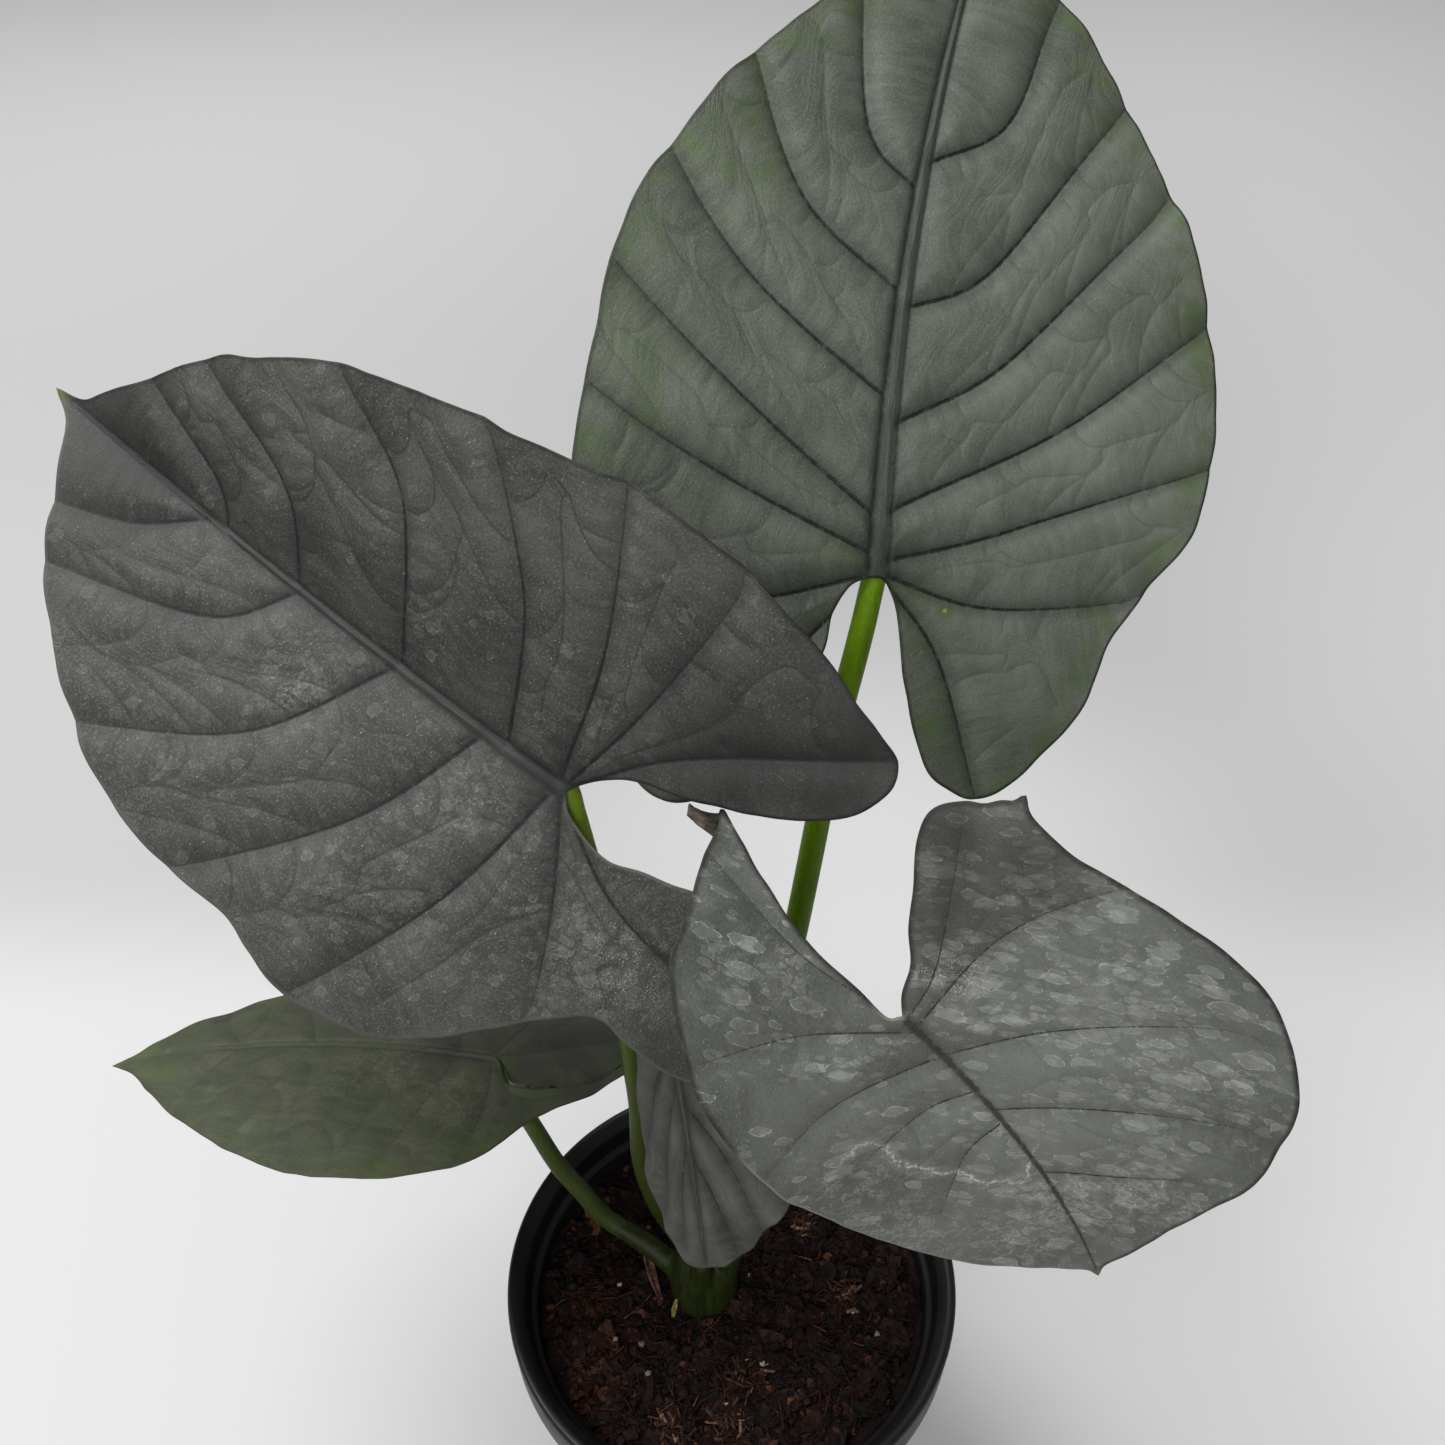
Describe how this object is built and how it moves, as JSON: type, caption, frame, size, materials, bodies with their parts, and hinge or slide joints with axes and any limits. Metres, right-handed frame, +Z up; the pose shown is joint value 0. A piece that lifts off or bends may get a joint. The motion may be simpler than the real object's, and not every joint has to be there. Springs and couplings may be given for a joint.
{
  "type": "potted alocasia plant",
  "caption": "Young alocasia with heart-shaped, deeply veined grey-green blades on arching petioles, rising from a sheathed crown in chunky soil in a black nursery pot.",
  "frame": {"origin": "middle of the pot's flat underside, where it rests", "axes": "+Z up, -Y the front that the picture was taken from, +X to the right as seen from the front"},
  "size_m": [0.2437, 0.2218, 0.351],
  "materials": {
    "pot": "satin black thermoformed plastic",
    "soil": "dark bark, coir and perlite mix",
    "stem": "smooth waxy green petiole",
    "blade": "leathery grey-green blade with sunken veins",
    "blade_olive": "leathery olive blade with sunken veins"
  },
  "bodies": {
    "root": {"pot": "pot", "soil": "soil", "crown": "stem", "petiole_left": "stem", "petiole_tall": "stem", "petiole_right": "stem", "petiole_low": "stem", "petiole_inner": "stem", "blade_left": "blade", "blade_tall": "blade", "blade_right": "blade", "blade_low": "blade_olive", "blade_inner": "blade"}
  },
  "joints": []
}
